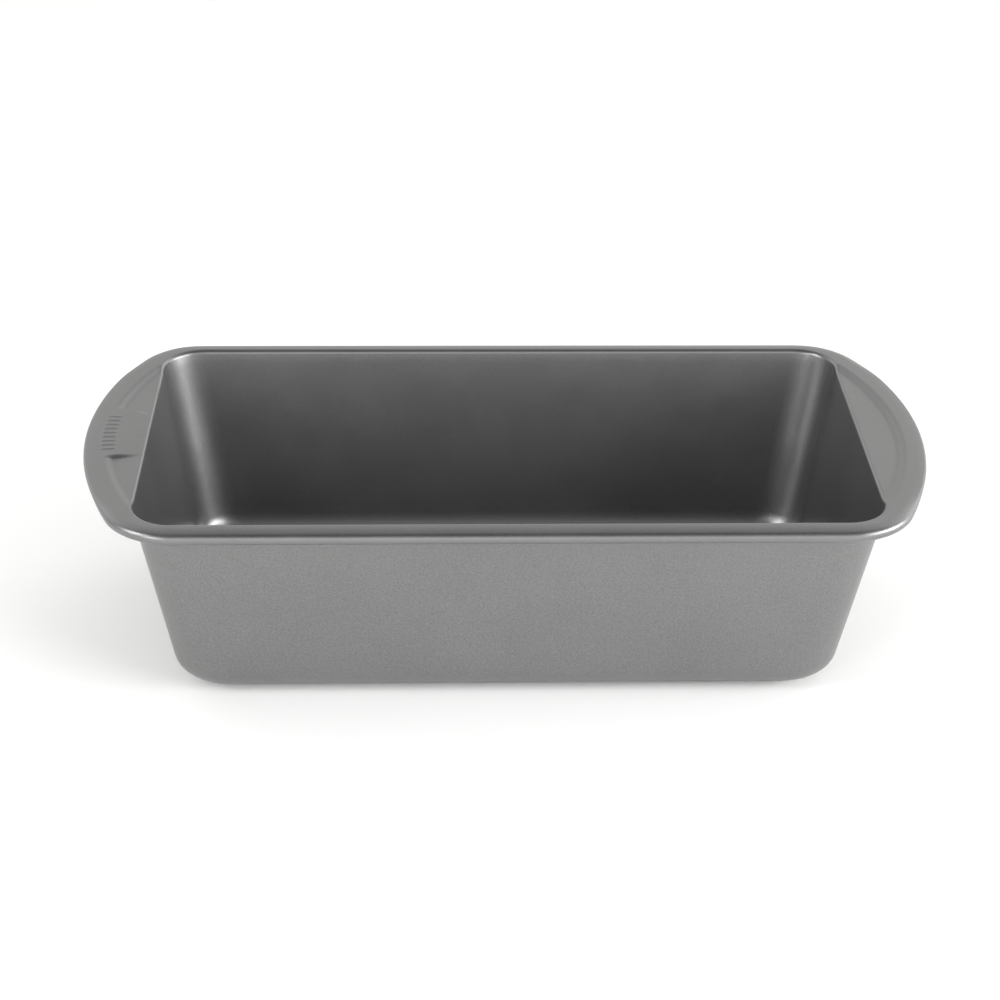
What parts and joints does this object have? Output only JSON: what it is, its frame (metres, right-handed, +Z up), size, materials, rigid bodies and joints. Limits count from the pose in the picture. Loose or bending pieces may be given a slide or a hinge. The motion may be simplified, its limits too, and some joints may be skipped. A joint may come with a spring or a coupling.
{
  "type": "loaf pan",
  "caption": "Seamless drawn-steel loaf pan with drafted walls, rounded corners, a rolled rim and an ear handle with a finger recess at each end, non-stick coated inside and out.",
  "frame": {"origin": "centre of the underside of the base, on the table plane", "axes": "+Z up out of the opening, +X along the length towards the plain handle, +Y across the width"},
  "size_m": [0.275, 0.1368, 0.0701],
  "materials": {
    "nonstick_dark_grey": "satin metallic non-stick coating, fine flake",
    "coated_underside": "satin metallic outer coating, fine flake",
    "carbon_steel": "cold rolled, bare only at the cut edge inside the roll"
  },
  "bodies": {
    "root": {"steel_pan_body": "carbon_steel", "interior_nonstick_coating": "nonstick_dark_grey", "exterior_coating": "coated_underside"}
  },
  "joints": []
}
